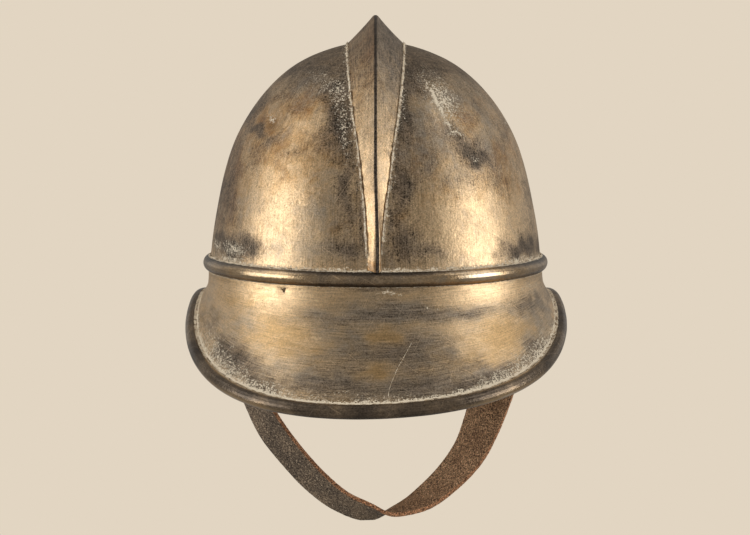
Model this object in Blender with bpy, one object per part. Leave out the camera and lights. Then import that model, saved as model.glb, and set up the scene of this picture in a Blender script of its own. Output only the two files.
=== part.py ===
"""Brass firefighter's helmet with a hollow comb, a bead around the crown, a rolled brim and a chin strap.

Units are metres and +Z is up. The origin is the middle of the crown at the height of the bead,
the face looks along -Y, and the wearer's left side is at +X.
"""
import math

import bmesh
import bpy
from mathutils import Vector

# Clearance between pieces that touch on the real helmet
FIT_GAP = 0.0003

# Crown, measured on its outer face; the height is above the bead's middle plane
CROWN_HALF_WIDTH = 0.1024
CROWN_HALF_LENGTH = 0.1190
CROWN_HEIGHT = 0.1365
CROWN_WALL = 0.0008
CROWN_LIP = 0.0060

# Bead: a half-round hollow moulding that covers the joint of crown and brim
BEAD_RADIUS = 0.0046
BEAD_REACH = 0.0043
BEAD_WALL = 0.0008

# Brim: one sheet, with a collar outside the crown's lip
BRIM_WALL = 0.0008
BRIM_COLLAR_TOP = 0.0015
BRIM_COLLAR_DROP = 0.0050
BRIM_HALF_WIDTH = 0.1121
BRIM_WIDEST_FORWARD = 0.0255
BRIM_FRONT_REACH = 0.1650
BRIM_FRONT_DROP = 0.0693
BRIM_REAR_REACH = 0.1680
BRIM_REAR_DROP = 0.0760
BRIM_TEMPLE_DROP = 0.0224
BRIM_ARCH_BACK = 0.0173
BRIM_ARCH_ROUND = 0.0433
BRIM_EDGE_PITCH = 50.0
BRIM_TILT = 1.9
BRIM_SHIFT = 0.0004
FRONT_BOW = 0.62
REAR_BOW = 0.17
NECK_SHARE_SIDE = 0.15
NECK_SHARE_FRONT = 0.28
EDGE_SHARE = 0.34

# Small three-cornered hole in the peak, below the bead
NICK_TURN = -30.9
NICK_DROP = 0.0078
NICK_WIDTH = 0.0028
NICK_DEPTH = 0.0060

# Rolled tube on the brim's edge
ROLL_RADIUS = 0.0042
ROLL_WALL = 0.0008
ROLL_GRIP = 0.0015

# Comb
COMB_HALF_WIDTH = 0.0172
COMB_HEIGHT = 0.0158
COMB_WALL = 0.0008
COMB_RIDGE_RADIUS = 0.0030

# Chin strap and its studs
STRAP_WIDTH = 0.0258
STRAP_THICKNESS = 0.0027
STRAP_EDGE = 0.0005
STRAP_DROP = 0.1571
STRAP_END = 0.0090
STUD_HEIGHT = 0.0080
STUD_RADIUS = 0.0025
STUD_HEAD_RADIUS = 0.0058
STUD_HEAD_THICKNESS = 0.0018

# Steps
ROUND_STEPS = 64
CROWN_ROWS = 12
BRIM_ROWS = 6
COMB_STATIONS = 36
STRAP_STATIONS = 56
STUD_STEPS = 20

# Crown's outline against a plain ellipse: latitude in degrees, share of the ellipse
CROWN_SWELL = (
    (0.0, 1.000),
    (9.0, 0.992),
    (16.0, 0.990),
    (24.0, 0.999),
    (32.0, 1.013),
    (45.0, 1.020),
    (60.0, 1.018),
    (75.0, 1.004),
    (90.0, 1.000),
)

# Comb: latitude in degrees, share of half width, share of height, share of ridge radius
COMB_SECTIONS = (
    (0.0, 0.250, 0.210, 1.00),
    (9.5, 0.255, 0.270, 0.80),
    (12.5, 0.290, 0.320, 0.65),
    (17.5, 0.345, 0.385, 0.55),
    (22.0, 0.430, 0.470, 0.50),
    (32.0, 0.580, 0.625, 0.50),
    (41.5, 0.750, 0.775, 0.50),
    (52.0, 0.870, 0.885, 0.50),
    (63.0, 0.955, 0.955, 0.55),
    (75.5, 0.985, 0.990, 0.70),
    (90.0, 1.000, 1.000, 0.80),
)

# Chin strap's free run, seen from the front: share of the half span, share of the drop, twist in degrees
STRAP_RUN = (
    (-1.000, 0.064, 2.0),
    (-0.985, 0.160, 8.0),
    (-0.950, 0.270, 18.0),
    (-0.890, 0.380, 30.0),
    (-0.767, 0.552, 37.0),
    (-0.658, 0.678, 44.0),
    (-0.528, 0.784, 43.0),
    (-0.385, 0.881, 42.0),
    (-0.217, 0.963, 38.0),
    (-0.013, 1.008, 28.0),
    (0.098, 1.005, 4.0),
    (0.207, 0.983, -9.0),
    (0.304, 0.951, -21.0),
    (0.469, 0.864, -33.0),
    (0.603, 0.758, -45.0),
    (0.688, 0.636, -58.0),
    (0.748, 0.524, -73.0),
    (0.825, 0.375, -74.0),
    (0.905, 0.230, -42.0),
    (0.972, 0.120, -12.0),
    (1.000, 0.050, -1.0),
)


def clear_scene():
    for item in list(bpy.data.objects):
        bpy.data.objects.remove(item, do_unlink=True)


def follow(rows, place, column=1):
    """Read a smooth curve through one column of a table whose first column grows."""
    at = [row[0] for row in rows]
    value = [row[column] for row in rows]
    place = min(max(place, at[0]), at[-1])
    step = [b - a for a, b in zip(at, at[1:])]
    rise = [(b - a) / s for a, b, s in zip(value, value[1:], step)]
    slope = [rise[0]]
    for i in range(1, len(rise)):
        slope.append((rise[i - 1] * step[i] + rise[i] * step[i - 1]) / (step[i - 1] + step[i]))
    slope.append(rise[-1])
    i = next(k for k in range(len(step)) if place <= at[k + 1])
    t = (place - at[i]) / step[i]
    start = value[i] * (1 + 2 * t) * (1 - t) ** 2 + step[i] * slope[i] * t * (1 - t) ** 2
    end = value[i + 1] * t * t * (3 - 2 * t) - step[i] * slope[i + 1] * t * t * (1 - t)
    return start + end


def crown_point(turn, latitude):
    """Point of the crown's outer face; turn is 0 at the front and a quarter turn at +X."""
    swell = follow(CROWN_SWELL, latitude)
    flat = swell * math.cos(math.radians(latitude))
    rise = swell * math.sin(math.radians(latitude))
    return Vector((CROWN_HALF_WIDTH * flat * math.sin(turn), -CROWN_HALF_LENGTH * flat * math.cos(turn),
                   CROWN_HEIGHT * rise))


def crown_level(point):
    """Below zero inside the crown's outer face and above zero outside it."""
    flat = math.hypot(point.x / CROWN_HALF_WIDTH, point.y / CROWN_HALF_LENGTH)
    rise = point.z / CROWN_HEIGHT
    if rise <= 0:
        return flat - 1.0
    return math.hypot(flat, rise) - follow(CROWN_SWELL, math.degrees(math.atan2(rise, flat)))


def crown_share(height):
    """Share of the crown's base plan that is left at a height above the bead."""
    low, high = 0.0, 1.5
    for _ in range(40):
        mid = (low + high) / 2
        if crown_level(Vector((mid * CROWN_HALF_WIDTH, 0.0, height))) < 0:
            low = mid
        else:
            high = mid
    return low


def plan_normal(turn):
    return Vector((math.sin(turn) / CROWN_HALF_WIDTH, -math.cos(turn) / CROWN_HALF_LENGTH, 0.0)).normalized()


def plan_point(turn, out, height):
    """Point at a distance outside the crown's base plan."""
    base = Vector((CROWN_HALF_WIDTH * math.sin(turn), -CROWN_HALF_LENGTH * math.cos(turn), height))
    return base + plan_normal(turn) * out


def roll_centre(turn):
    """Middle of the rolled edge, an arched line that is lowest at the front and the back."""
    across, along = math.sin(turn), math.cos(turn)
    front = along > 0
    reach = BRIM_FRONT_REACH if front else BRIM_REAR_REACH
    length = reach - BRIM_WIDEST_FORWARD if front else reach + BRIM_WIDEST_FORWARD
    x = BRIM_SHIFT + BRIM_HALF_WIDTH * across
    y = -BRIM_WIDEST_FORWARD - length * along
    end = -reach if front else reach
    full = math.hypot(BRIM_ARCH_BACK - end, BRIM_ARCH_ROUND) - BRIM_ARCH_ROUND
    share = (math.hypot(BRIM_ARCH_BACK - y, BRIM_ARCH_ROUND) - BRIM_ARCH_ROUND) / full
    behind = y > BRIM_ARCH_BACK
    if behind != (not front):
        full = math.hypot(BRIM_ARCH_BACK + BRIM_FRONT_REACH, BRIM_ARCH_ROUND) - BRIM_ARCH_ROUND
        share = (math.hypot(BRIM_ARCH_BACK - y, BRIM_ARCH_ROUND) - BRIM_ARCH_ROUND) / full
    bow = REAR_BOW if behind else FRONT_BOW
    drop = (BRIM_REAR_DROP if behind else BRIM_FRONT_DROP) - BRIM_TEMPLE_DROP
    z = -BRIM_TEMPLE_DROP - drop * ((1 + bow) * share - bow * share * share)
    tilt = math.tan(math.radians(BRIM_TILT)) * min(max(-y / BRIM_FRONT_REACH, 0.0), 1.0)
    return Vector((x, y, z + tilt * x))


def edge_frame(turn):
    """Middle of the roll, the sheet's direction into it and the sheet's outward normal."""
    centre = roll_centre(turn)
    step = 0.004
    along = (roll_centre(turn + step) - roll_centre(turn - step)).normalized()
    outward = Vector((along.y, -along.x, 0.0)).normalized()
    down = along.cross(outward)
    if down.z > 0:
        down = -down
    pitch = math.radians(BRIM_EDGE_PITCH)
    into = outward * math.cos(pitch) + down * math.sin(pitch)
    normal = outward * math.sin(pitch) - down * math.cos(pitch)
    return centre, into, normal


def brim_point(turn, share):
    """Point of the brim's outer face between its collar, share 0, and its edge, share 1."""
    start = plan_point(turn, FIT_GAP + BRIM_WALL, -BRIM_COLLAR_DROP)
    centre, into, normal = edge_frame(turn)
    end = centre - into * (ROLL_RADIUS - ROLL_WALL - ROLL_GRIP) + normal * (BRIM_WALL / 2)
    length = (end - start).length
    frontness = math.cos(turn) ** 2
    neck = NECK_SHARE_SIDE + (NECK_SHARE_FRONT - NECK_SHARE_SIDE) * frontness
    first = start + Vector((0.0, 0.0, -neck * length))
    second = end - into * (EDGE_SHARE * length)
    rest = 1 - share
    return (start * rest ** 3 + first * (3 * rest * rest * share) + second * (3 * rest * share * share)
            + end * share ** 3)


def turns():
    return [2 * math.pi * i / ROUND_STEPS for i in range(ROUND_STEPS)]


def make_object(name, mesh_builder, material, parent):
    mesh = bpy.data.meshes.new(name)
    shape = bmesh.new()
    mesh_builder(shape)
    bmesh.ops.recalc_face_normals(shape, faces=shape.faces)
    shape.to_mesh(mesh)
    shape.free()
    mesh.materials.append(material)
    mesh.shade_smooth()
    mesh.set_sharp_from_angle(angle=math.radians(35))
    item = bpy.data.objects.new(name, mesh)
    bpy.context.scene.collection.objects.link(item)
    item.parent = parent
    return item


def add_sheet_thickness(item, wall):
    sheet = item.modifiers.new("Sheet", "SOLIDIFY")
    sheet.thickness = wall
    sheet.offset = -1.0
    sheet.use_even_offset = True


def cut_away(item, cutter):
    cutter.hide_render = True
    cutter.display_type = "WIRE"
    cut = item.modifiers.new("Cut", "BOOLEAN")
    cut.operation = "DIFFERENCE"
    cut.object = cutter


def grid_rows(shape, rows, closed):
    """Faces between neighbouring rows of points; each row may close on itself."""
    made = [[shape.verts.new(point) for point in row] for row in rows]
    for lower, upper in zip(made, made[1:]):
        count = len(lower)
        for i in range(count if closed else count - 1):
            j = (i + 1) % count
            shape.faces.new((lower[i], lower[j], upper[j], upper[i]))
    return made


def sweep_rings(shape, rings, endless):
    """Tube with a closed section at each station, joined into a ring or capped at its ends."""
    made = [[shape.verts.new(point) for point in ring] for ring in rings]
    pairs = list(zip(made, made[1:]))
    if endless:
        pairs.append((made[-1], made[0]))
    for first, second in pairs:
        for i in range(len(first)):
            j = (i + 1) % len(first)
            shape.faces.new((first[i], first[j], second[j], second[i]))
    if not endless:
        shape.faces.new(made[0])
        shape.faces.new(list(reversed(made[-1])))


def build_crown(shape):
    rows = [[plan_point(turn, 0.0, -CROWN_LIP) for turn in turns()]]
    for i in range(CROWN_ROWS):
        latitude = 90.0 * i / CROWN_ROWS
        rows.append([crown_point(turn, latitude) for turn in turns()])
    made = grid_rows(shape, rows, True)
    top = shape.verts.new((0.0, 0.0, CROWN_HEIGHT * follow(CROWN_SWELL, 90.0)))
    last = made[-1]
    for i in range(len(last)):
        shape.faces.new((last[i], last[(i + 1) % len(last)], top))


def arc(radius, first, last, steps):
    """Points (out, up) on an arc between two angles in radians."""
    angles = [first + (last - first) * i / steps for i in range(steps + 1)]
    return [(radius * math.cos(a), radius * math.sin(a)) for a in angles]


def bead_limits():
    """How far out the bead's upper and lower feet stay, from the crown and from the collar."""
    middle = BEAD_REACH - BEAD_RADIUS
    upper = (crown_share(BEAD_RADIUS) - 1.0) * CROWN_HALF_WIDTH + FIT_GAP
    lower = FIT_GAP + BRIM_WALL + FIT_GAP
    return middle, upper, lower


def bead_top(out):
    """Height of the bead's outer face at a distance outside the crown's base plan."""
    middle = BEAD_REACH - BEAD_RADIUS
    return math.sqrt(max(BEAD_RADIUS ** 2 - (out - middle) ** 2, 0.0))


def build_bead(shape):
    middle, upper, lower = bead_limits()
    inside = BEAD_RADIUS - BEAD_WALL
    outer = arc(BEAD_RADIUS, math.acos((upper - middle) / BEAD_RADIUS),
                -math.acos((lower - middle) / BEAD_RADIUS), 7)
    inner = arc(inside, -math.acos((lower - middle) / inside), math.acos((upper - middle) / inside), 5)
    section = outer + inner
    rings = []
    for turn in turns():
        rings.append([plan_point(turn, middle + out, up) for out, up in section])
    sweep_rings(shape, rings, True)


def build_brim(shape):
    rows = [[plan_point(turn, FIT_GAP + BRIM_WALL, BRIM_COLLAR_TOP) for turn in turns()]]
    for i in range(BRIM_ROWS + 1):
        rows.append([brim_point(turn, i / BRIM_ROWS) for turn in turns()])
    grid_rows(shape, list(reversed(rows)), True)


def build_roll(shape):
    """Split tube; its slot takes the sheet with a clearance on both faces."""
    half_slot = BRIM_WALL / 2 + FIT_GAP
    inside = ROLL_RADIUS - ROLL_WALL
    outer_stop = math.pi - math.asin(half_slot / ROLL_RADIUS)
    inner_stop = math.pi - math.asin(half_slot / inside)
    section = arc(ROLL_RADIUS, outer_stop, -outer_stop, 8) + arc(inside, -inner_stop, inner_stop, 6)
    rings = []
    for turn in turns():
        centre, into, normal = edge_frame(turn)
        rings.append([centre + into * along + normal * up for along, up in section])
    sweep_rings(shape, rings, True)


def comb_frame(angle):
    """Point on the crown's middle line and its outward normal; the angle runs from front to rear."""
    def line(value):
        if value <= 90.0:
            return crown_point(0.0, value)
        return crown_point(math.pi, 180.0 - value)
    along = (line(angle + 0.2) - line(angle - 0.2)).normalized()
    return line(angle), Vector((0.0, -along.z, along.y))


def crown_depth(origin, normal, x):
    """Place of the crown's face along the comb's normal at a distance x from the middle line."""
    low, high = -0.04, 0.01
    for _ in range(36):
        mid = (low + high) / 2
        if crown_level(origin + Vector((x, 0.0, 0.0)) + normal * mid) < 0:
            low = mid
        else:
            high = mid
    return low


def comb_section(origin, normal, latitude):
    """Sheet section of the comb as (across, out) points: outer faces, ridge and inner faces."""
    half = COMB_HALF_WIDTH * follow(COMB_SECTIONS, latitude, 1)
    height = COMB_HEIGHT * follow(COMB_SECTIONS, latitude, 2)
    ridge = COMB_RIDGE_RADIUS * follow(COMB_SECTIONS, latitude, 3)
    centre = height - ridge
    base = crown_depth(origin, normal, half) + FIT_GAP
    reach = math.hypot(half, base - centre)
    face = math.atan2(base - centre, half) + math.acos(ridge / reach)
    inner_ridge = ridge - COMB_WALL
    inner_half = (inner_ridge - (base - centre) * math.sin(face)) / math.cos(face)
    inner_base = crown_depth(origin, normal, inner_half) + FIT_GAP
    inner_half = (inner_ridge - (inner_base - centre) * math.sin(face)) / math.cos(face)
    middle = (face + math.pi / 2) / 2
    edge = (ridge * math.cos(face), centre + ridge * math.sin(face))
    peak = centre + inner_ridge / math.sin(face)
    right = [(half, base), ((half + edge[0]) / 2, (base + edge[1]) / 2), edge]
    right.append((ridge * math.cos(middle), centre + ridge * math.sin(middle)))
    left = [(-x, out) for x, out in reversed(right)]
    inner_right = [(inner_half / 2, (inner_base + peak) / 2), (inner_half, inner_base)]
    inside = [(-x, out) for x, out in reversed(inner_right)] + [(0.0, peak)] + inner_right
    return right + [(0.0, height)] + left + inside


def comb_start():
    """Latitude at which the comb's foot stands on the bead."""
    low, high = 0.0, 30.0
    goal = bead_top(0.0) + FIT_GAP
    for _ in range(40):
        mid = (low + high) / 2
        if crown_point(0.0, mid).z < goal:
            low = mid
        else:
            high = mid
    return high


def build_comb(shape):
    start = comb_start()
    rings = []
    for i in range(COMB_STATIONS + 1):
        angle = start + (180.0 - 2 * start) * i / COMB_STATIONS
        origin, normal = comb_frame(angle)
        section = comb_section(origin, normal, min(angle, 180.0 - angle))
        ring = [origin + Vector((x, 0.0, 0.0)) + normal * out for x, out in section]
        if i in (0, COMB_STATIONS):
            for point in ring:
                out = abs(point.y) - CROWN_HALF_LENGTH * math.sqrt(1 - (point.x / CROWN_HALF_WIDTH) ** 2)
                point.z = bead_top(out - FIT_GAP) + FIT_GAP
        rings.append(ring)
    sweep_rings(shape, rings, False)


def wall_inside(y, z):
    """Half width of the crown's hollow at a place along it and a height."""
    share = crown_share(max(z, 0.0))
    width = CROWN_HALF_WIDTH * math.sqrt(max(share ** 2 - (y / CROWN_HALF_LENGTH) ** 2, 0.0))
    return width - CROWN_WALL


def strap_half_span():
    """Middle of the strap's thickness where it lies flat against the crown's wall."""
    return wall_inside(STRAP_WIDTH / 2, STUD_HEIGHT + STRAP_END) - FIT_GAP - STRAP_THICKNESS / 2


def strap_line():
    """Rows of arc length, across, height and twist along the whole strap."""
    span = strap_half_span()
    points = [(-span, STUD_HEIGHT + STRAP_END, 0.0), (-span, STUD_HEIGHT, 0.0)]
    points += [(across * span, -drop * STRAP_DROP, twist) for across, drop, twist in STRAP_RUN]
    points += [(span, STUD_HEIGHT, 0.0), (span, STUD_HEIGHT + STRAP_END, 0.0)]
    rows = []
    length = 0.0
    for i, point in enumerate(points):
        if i:
            length += math.hypot(point[0] - points[i - 1][0], point[1] - points[i - 1][1])
        rows.append((length,) + point)
    return rows


def build_strap(shape):
    rows = strap_line()
    total = rows[-1][0]
    half, thick, edge = STRAP_WIDTH / 2, STRAP_THICKNESS / 2, STRAP_EDGE
    section = [(half - edge, thick), (half, thick - edge), (half, edge - thick), (half - edge, -thick),
               (edge - half, -thick), (-half, edge - thick), (-half, thick - edge), (edge - half, thick)]
    rings = []
    for i in range(STRAP_STATIONS + 1):
        place = total * i / STRAP_STATIONS
        x, z, twist = (follow(rows, place, column) for column in (1, 2, 3))
        step = 0.0005
        ahead, back = min(place + step, total), max(place - step, 0.0)
        along = Vector((follow(rows, ahead, 1) - follow(rows, back, 1), 0.0,
                        follow(rows, ahead, 2) - follow(rows, back, 2))).normalized()
        inward = Vector((-along.z, 0.0, along.x))
        side = Vector((0.0, 1.0, 0.0))
        c, s = math.cos(math.radians(twist)), math.sin(math.radians(twist))
        outer = inward * -c - side * s
        width = side * c - inward * s
        middle = Vector((x, 0.0, z))
        rings.append([middle + width * across + outer * out for across, out in section])
    sweep_rings(shape, rings, False)


def turned(shape, profile, steps):
    """Solid turned about local Z from (radius, height) points, closed at both ends."""
    rings = []
    for radius, height in profile:
        ring = []
        for i in range(steps):
            a = 2 * math.pi * i / steps
            ring.append((radius * math.cos(a), radius * math.sin(a), height))
        rings.append(ring)
    sweep_rings(shape, rings, False)


def stud_foot():
    """Where the stud's flat foot stands, just inside the sloping wall."""
    return wall_inside(STUD_RADIUS, STUD_HEIGHT + STUD_RADIUS) - FIT_GAP


def build_stud(shape):
    """Plain stud: a shank from the crown's wall through the strap, with a low domed head."""
    under_head = stud_foot() - strap_half_span() + STRAP_THICKNESS / 2 + FIT_GAP
    head = under_head + STUD_HEAD_THICKNESS
    profile = [(STUD_RADIUS, 0.0), (STUD_RADIUS, under_head), (STUD_HEAD_RADIUS, under_head),
               (STUD_HEAD_RADIUS, under_head + 0.35 * STUD_HEAD_THICKNESS),
               (0.86 * STUD_HEAD_RADIUS, under_head + 0.72 * STUD_HEAD_THICKNESS),
               (0.5 * STUD_HEAD_RADIUS, head)]
    turned(shape, profile, STUD_STEPS)


def strap_hole_cutter(shape):
    turned(shape, [(STUD_RADIUS + FIT_GAP, -4 * STRAP_THICKNESS), (STUD_RADIUS + FIT_GAP, 4 * STRAP_THICKNESS)],
           STUD_STEPS)


def nick_place():
    """Point of the brim's outer face at the nick, with the face's normal and downward direction."""
    turn = math.radians(NICK_TURN)
    low, high = 0.0, 1.0
    for _ in range(30):
        mid = (low + high) / 2
        if brim_point(turn, mid).z > -NICK_DROP:
            low = mid
        else:
            high = mid
    here = brim_point(turn, low)
    down = (brim_point(turn, low + 0.02) - here).normalized()
    aside = (brim_point(turn + 0.02, low) - brim_point(turn - 0.02, low)).normalized()
    normal = down.cross(aside).normalized()
    if normal.dot(plan_normal(turn)) < 0:
        normal = -normal
    return here, normal, down


def nick_cutter(shape):
    here, normal, down = nick_place()
    aside = normal.cross(down)
    corners = [aside * (-NICK_WIDTH / 2) - down * (NICK_WIDTH / 3),
               aside * (NICK_WIDTH / 2) - down * (NICK_WIDTH / 3), down * (NICK_WIDTH * 0.55)]
    rings = [[here + corner + normal * depth for corner in corners] for depth in (-NICK_DEPTH / 2, NICK_DEPTH / 2)]
    sweep_rings(shape, rings, False)


def plain_material(name, colour, roughness, metallic):
    material = bpy.data.materials.new(name)
    material.use_nodes = True
    shader = material.node_tree.nodes["Principled BSDF"]
    shader.inputs["Base Color"].default_value = (*colour, 1.0)
    shader.inputs["Roughness"].default_value = roughness
    shader.inputs["Metallic"].default_value = metallic
    return material


def build_helmet():
    clear_scene()
    middle = bpy.data.objects.new("helmet", None)
    bpy.context.scene.collection.objects.link(middle)

    crown_brass = plain_material("crown_brass", (0.44, 0.31, 0.17), 0.36, 1.0)
    comb_brass = plain_material("comb_brass", (0.40, 0.28, 0.17), 0.38, 1.0)
    bead_brass = plain_material("bead_brass", (0.42, 0.28, 0.15), 0.32, 1.0)
    brim_brass = plain_material("brim_brass", (0.42, 0.31, 0.18), 0.38, 1.0)
    roll_brass = plain_material("roll_brass", (0.36, 0.27, 0.17), 0.34, 1.0)
    stud_brass = plain_material("stud_brass", (0.38, 0.27, 0.15), 0.40, 1.0)
    leather = plain_material("strap_leather", (0.10, 0.06, 0.035), 0.85, 0.0)

    crown = make_object("crown", build_crown, crown_brass, middle)
    add_sheet_thickness(crown, CROWN_WALL)

    make_object("comb", build_comb, comb_brass, middle)
    make_object("bead_ring", build_bead, bead_brass, middle)

    brim = make_object("brim", build_brim, brim_brass, middle)
    add_sheet_thickness(brim, BRIM_WALL)
    nick = make_object("nick_cutter", nick_cutter, brim_brass, middle)
    cut_away(brim, nick)

    make_object("rim_roll", build_roll, roll_brass, middle)

    strap = make_object("chin_strap", build_strap, leather, middle)
    left = make_object("strap_stud_left", build_stud, stud_brass, middle)
    left.location = (-stud_foot(), 0.0, STUD_HEIGHT)
    left.rotation_euler = (0.0, math.radians(90), 0.0)
    right = bpy.data.objects.new("strap_stud_right", left.data)
    bpy.context.scene.collection.objects.link(right)
    right.parent = middle
    right.location = (stud_foot(), 0.0, STUD_HEIGHT)
    right.rotation_euler = (0.0, math.radians(-90), 0.0)
    for side in (-1, 1):
        hole = make_object("strap_hole_cutter", strap_hole_cutter, leather, middle)
        hole.location = (side * strap_half_span(), 0.0, STUD_HEIGHT)
        hole.rotation_euler = (0.0, math.radians(90), 0.0)
        cut_away(strap, hole)


build_helmet()
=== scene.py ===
import math

import bmesh
import bpy
import numpy as np
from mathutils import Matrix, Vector, noise


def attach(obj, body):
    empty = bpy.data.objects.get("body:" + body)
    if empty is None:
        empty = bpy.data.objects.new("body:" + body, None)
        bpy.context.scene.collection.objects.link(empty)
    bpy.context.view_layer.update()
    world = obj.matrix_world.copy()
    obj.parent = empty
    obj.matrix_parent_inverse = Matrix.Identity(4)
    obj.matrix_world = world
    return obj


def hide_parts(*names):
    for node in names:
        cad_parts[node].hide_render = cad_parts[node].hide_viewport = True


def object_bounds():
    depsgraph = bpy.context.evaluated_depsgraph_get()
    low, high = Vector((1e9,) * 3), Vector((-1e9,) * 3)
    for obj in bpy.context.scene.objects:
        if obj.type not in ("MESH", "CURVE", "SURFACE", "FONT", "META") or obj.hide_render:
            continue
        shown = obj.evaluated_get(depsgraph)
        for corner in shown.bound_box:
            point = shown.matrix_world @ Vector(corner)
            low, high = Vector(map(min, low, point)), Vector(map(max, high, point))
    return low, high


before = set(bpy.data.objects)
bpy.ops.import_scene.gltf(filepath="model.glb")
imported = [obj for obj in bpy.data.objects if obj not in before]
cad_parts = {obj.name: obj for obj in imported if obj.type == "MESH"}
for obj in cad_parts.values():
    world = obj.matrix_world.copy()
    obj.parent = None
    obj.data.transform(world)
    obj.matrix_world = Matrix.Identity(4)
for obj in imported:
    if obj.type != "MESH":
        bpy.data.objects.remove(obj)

cad_box = [list(corner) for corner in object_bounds()]

# Sizes of the helmet in metres, as in the solid model
FIT_GAP = 0.0003
CROWN_HALF_WIDTH = 0.1024
CROWN_HALF_LENGTH = 0.1190
CROWN_HEIGHT = 0.1365
CROWN_WALL = 0.0008
CROWN_LIP = 0.0060
BEAD_RADIUS = 0.0046
BEAD_REACH = 0.0043
BEAD_WALL = 0.0008
BEAD_WAVE = 0.0004
BRIM_WALL = 0.0008
BRIM_COLLAR_TOP = 0.0015
BRIM_COLLAR_DROP = 0.0050
BRIM_HALF_WIDTH = 0.1121
BRIM_WIDEST_FORWARD = 0.0255
BRIM_FRONT_REACH = 0.1650
BRIM_FRONT_DROP = 0.0693
BRIM_REAR_REACH = 0.1680
BRIM_REAR_DROP = 0.0760
BRIM_TEMPLE_DROP = 0.0224
BRIM_ARCH_BACK = 0.0173
BRIM_ARCH_ROUND = 0.0433
BRIM_EDGE_PITCH = 50.0
BRIM_TILT = 1.9
BRIM_SHIFT = 0.0004
FRONT_BOW = 0.62
REAR_BOW = 0.17
NECK_SHARE_SIDE = 0.15
NECK_SHARE_FRONT = 0.28
EDGE_SHARE = 0.34
NICK_TURN = -30.9
NICK_DROP = 0.0078
NICK_WIDTH = 0.0040
ROLL_RADIUS = 0.0042
ROLL_WALL = 0.0008
ROLL_GRIP = 0.0015
COMB_HALF_WIDTH = 0.0172
COMB_HEIGHT = 0.0158
COMB_WALL = 0.0008
COMB_RIDGE_RADIUS = 0.0030
COMB_FOOT_SHIFT = -0.0008
COMB_LEAN = 0.0020
STRAP_WIDTH = 0.0258
STRAP_THICKNESS = 0.0027
STRAP_DROP = 0.1571
STRAP_END = 0.0090
STUD_HEIGHT = 0.0080
STUD_RADIUS = 0.0025
STUD_HEAD_RADIUS = 0.0058
STUD_HEAD_THICKNESS = 0.0018

# Radius of the dried residue in each seam, in metres, and the height of the lowest seam
COMB_SEAM = 0.0010
BEAD_UPPER_SEAM = 0.0005
BEAD_LOWER_SEAM = 0.00035
BEAD_LOWER_SEAM_HEIGHT = -0.00435
RIM_SEAM = 0.0008

# Crown's outline against a plain ellipse: latitude in degrees, share of the ellipse
CROWN_SWELL = (
    (0.0, 1.000), (9.0, 0.992), (16.0, 0.990), (24.0, 0.999), (32.0, 1.013),
    (45.0, 1.020), (60.0, 1.018), (75.0, 1.004), (90.0, 1.000),
)

# Comb: latitude in degrees, share of half width, share of height, share of ridge radius
COMB_SECTIONS = (
    (0.0, 0.250, 0.210, 1.00), (9.5, 0.255, 0.270, 0.80), (12.5, 0.290, 0.320, 0.65),
    (17.5, 0.345, 0.385, 0.55), (22.0, 0.430, 0.470, 0.50), (32.0, 0.580, 0.625, 0.50),
    (41.5, 0.750, 0.775, 0.50), (52.0, 0.870, 0.885, 0.50), (63.0, 0.955, 0.955, 0.55),
    (75.5, 0.985, 0.990, 0.70), (90.0, 1.000, 1.000, 0.80),
)

# Chin strap's free run: share of the half span, share of the drop, twist in degrees
STRAP_RUN = (
    (-1.000, 0.064, 2.0), (-0.985, 0.160, 8.0), (-0.950, 0.270, 18.0), (-0.890, 0.380, 30.0),
    (-0.767, 0.552, 37.0), (-0.658, 0.678, 44.0), (-0.528, 0.784, 43.0), (-0.385, 0.881, 42.0),
    (-0.217, 0.963, 38.0), (-0.013, 1.008, 28.0), (0.098, 1.005, 4.0), (0.207, 0.983, -9.0),
    (0.304, 0.951, -21.0), (0.469, 0.864, -33.0), (0.603, 0.758, -45.0), (0.688, 0.636, -58.0),
    (0.748, 0.524, -73.0), (0.825, 0.375, -74.0), (0.905, 0.230, -42.0), (0.972, 0.120, -12.0),
    (1.000, 0.050, -1.0),
)

# Wear and painted highlights on the front of the crown: across, up, half width and half height in
# millimetres, amount, and for a leaning mark its lean in degrees. An amount below zero clears the mark as a
# painted highlight; in the dark table it also lightens the metal towards near white.
CROWN_DARK = (
    (-19, 86, 7.5, 24, 1.2, 4), (-23, 108, 8, 9, 1, 8), (-27, 80, 7, 9, 0.75), (-16.5, 50, 5.5, 16, 1.1, 2),
    (-32, 118, 24, 6, 0.6, 16), (-52, 108, 18, 6, 0.6, 38), (-72, 84, 4.2, 4, 1),
    (-66, 73, 22, 3.4, 0.65, 51), (-54, 90, 3, 7, 0.6, -20), (-84, 14, 14, 6, 1.25),
    (-92, 42, 9, 28, 0.85, -4), (-87, 66, 7, 20, 0.75, -14), (-74, 94, 8, 18, 0.9, -40),
    (-13, 17, 13, 6.5, 0.85), (-43, 71, 10, 3, 0.5), (-36, 36, 12, 5, 0.2), (20, 114, 8, 12, 0.95),
    (16.5, 98, 5, 20, 1.1, 3), (14, 76, 4.5, 16, 0.75), (15, 54, 8, 12, 0.92), (12, 38, 4, 12, 0.75),
    (16, 20, 11, 11, 0.85), (30, 14, 12, 4.5, 0.75), (45, 101, 16, 6, 0.5, -55), (46, 81, 11, 4.6, 0.8, -28),
    (58, 70, 12, 6.5, 1.05, -36), (60, 108, 18, 6, 0.6, -42), (86, 13, 14, 6.5, 1.15), (77, 84, 5, 12, 0.6),
    (94, 40, 5, 22, 0.65), (30, 62, 7, 10, 0.45, -20), (95, 60, 7, 26, 0.55, 8), (68, 54, 14, 9, 0.45),
    (50, 53, 16, 8, 0.4), (-50, 34, 18, 20, -0.35), (56, 22, 18, 13, -0.35), (-62, 91, 5, 4, -1.4),
)
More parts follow.
